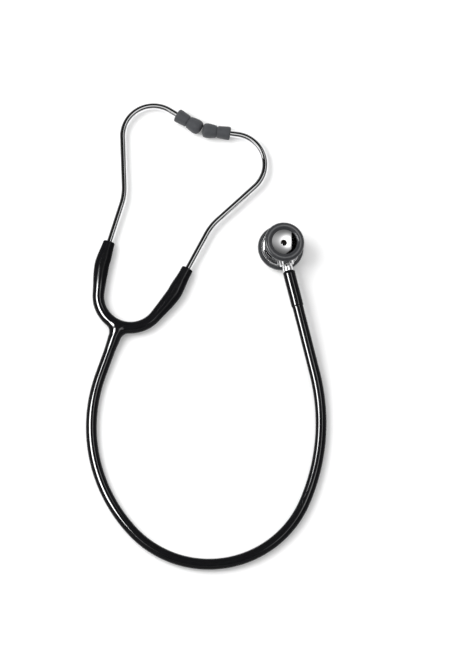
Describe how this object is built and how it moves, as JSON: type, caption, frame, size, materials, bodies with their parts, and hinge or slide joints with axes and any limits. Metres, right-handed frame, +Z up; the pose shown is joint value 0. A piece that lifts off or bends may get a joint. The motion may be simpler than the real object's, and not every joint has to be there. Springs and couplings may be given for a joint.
{
  "type": "dual-head stethoscope",
  "caption": "Dual-head stethoscope with bell and diaphragm, one-piece black Y tubing, bent chrome ear tubes and soft grey eartips, lying in a loop.",
  "frame": {"origin": "on the table at the centre of the footprint of the object as it lies", "axes": "+Z up from the table; +Y along the headset from the Y junction to the eartips; +X to the side the chest tube loops to"},
  "size_m": [0.266, 0.3556, 0.029],
  "materials": {
    "black_pvc": "glossy black soft PVC",
    "grey_rubber": "satin dark grey rubber",
    "head_chrome": "polished, mirror bright",
    "ear_tube_chrome": "polished, mirror bright",
    "spring_steel": "plain spring steel",
    "seal_rubber": "plain black rubber",
    "bush_plastic": "moulded, uncoloured",
    "diaphragm_sheet": "thin glass-fibre and resin sheet, satin"
  },
  "bodies": {
    "y_tube": {"y_tube": "black_pvc", "leaf_spring": "spring_steel"},
    "left_arm": {"left_sleeve": "black_pvc", "left_spring_clip": "spring_steel"},
    "left_ear_tube": {"left_ear_tube": "ear_tube_chrome"},
    "left_eartip": {"left_eartip": "grey_rubber", "left_eartip_insert": "bush_plastic"},
    "right_arm": {"right_sleeve": "black_pvc", "right_spring_clip": "spring_steel"},
    "right_ear_tube": {"right_ear_tube": "ear_tube_chrome"},
    "right_eartip": {"right_eartip": "grey_rubber", "right_eartip_insert": "bush_plastic"},
    "tube_1": {"tube_1": "black_pvc"},
    "tube_2": {"tube_2": "black_pvc"},
    "tube_3": {"tube_3": "black_pvc"},
    "tube_4": {"tube_4": "black_pvc"},
    "tube_5": {"tube_5": "black_pvc", "stem": "head_chrome", "stem_o_ring": "seal_rubber", "stem_retaining_ring": "spring_steel"},
    "chestpiece": {"chestpiece": "head_chrome", "bell_ring": "grey_rubber", "diaphragm": "diaphragm_sheet", "diaphragm_rim": "grey_rubber", "detent_ball": "spring_steel", "detent_spring": "spring_steel"}
  },
  "joints": [
    {"name": "left_arm_spread", "type": "hinge", "parent": "y_tube", "child": "left_arm", "pos_m": [-0.08994, -0.00234, 0.0061], "axis": [0, 0, 1], "range_deg": [0, 30], "stiffness_Nm_per_rad": 0.8, "deforming": ["leaf_spring"]},
    {"name": "right_arm_spread", "type": "hinge", "parent": "y_tube", "child": "right_arm", "pos_m": [-0.04949, -0.00234, 0.0061], "axis": [0, 0, -1], "range_deg": [0, 11], "stiffness_Nm_per_rad": 0.8, "deforming": ["leaf_spring"]},
    {"name": "left_ear_tube_turn", "type": "hinge", "parent": "left_arm", "child": "left_ear_tube", "pos_m": [-0.10352, 0.04986, 0.0061], "axis": [0.0906, -0.9959, 0], "range_deg": [0, 25]},
    {"name": "right_ear_tube_turn", "type": "hinge", "parent": "right_arm", "child": "right_ear_tube", "pos_m": [-0.03551, 0.05414, 0.0061], "axis": [0.0906, 0.9959, 0], "range_deg": [0, 25]},
    {"name": "left_eartip_twist", "type": "hinge", "parent": "left_ear_tube", "child": "left_eartip", "pos_m": [-0.09392, 0.17007, 0.0061], "axis": [0.9882, -0.153, 0], "continuous": true},
    {"name": "right_eartip_twist", "type": "hinge", "parent": "right_ear_tube", "child": "right_eartip", "pos_m": [-0.04713, 0.17249, 0.0061], "axis": [-0.965, -0.2622, 0], "continuous": true},
    {"name": "tube_flex_1", "type": "hinge", "parent": "y_tube", "child": "tube_1", "pos_m": [-0.06692, -0.05221, 0.00479], "axis": [0, 0, 1], "range_deg": [-45, 6], "stiffness_Nm_per_rad": 0.03},
    {"name": "tube_flex_2", "type": "hinge", "parent": "tube_1", "child": "tube_2", "pos_m": [-0.02741, -0.14138, 0.0045], "axis": [0, 0, 1], "range_deg": [-45, 6], "stiffness_Nm_per_rad": 0.03},
    {"name": "tube_flex_3", "type": "hinge", "parent": "tube_2", "child": "tube_3", "pos_m": [0.06359, -0.17092, 0.0045], "axis": [0.2368, -0.9716, 0], "range_deg": [0, 40], "stiffness_Nm_per_rad": 0.03},
    {"name": "tube_flex_4", "type": "hinge", "parent": "tube_3", "child": "tube_4", "pos_m": [0.12744, -0.10148, 0.0045], "axis": [0, 0, 1], "range_deg": [-45, 6], "stiffness_Nm_per_rad": 0.03},
    {"name": "tube_flex_5", "type": "hinge", "parent": "tube_4", "child": "tube_5", "pos_m": [0.1069, -0.00525, 0.00528], "axis": [0.8716, 0.4902, 0], "range_deg": [0, 40], "stiffness_Nm_per_rad": 0.03},
    {"name": "chestpiece_swivel", "type": "hinge", "parent": "tube_5", "child": "chestpiece", "pos_m": [0.02898, 0.10063, 0.0119], "axis": [-0.6018, 0.7986, 0], "continuous": true}
  ]
}
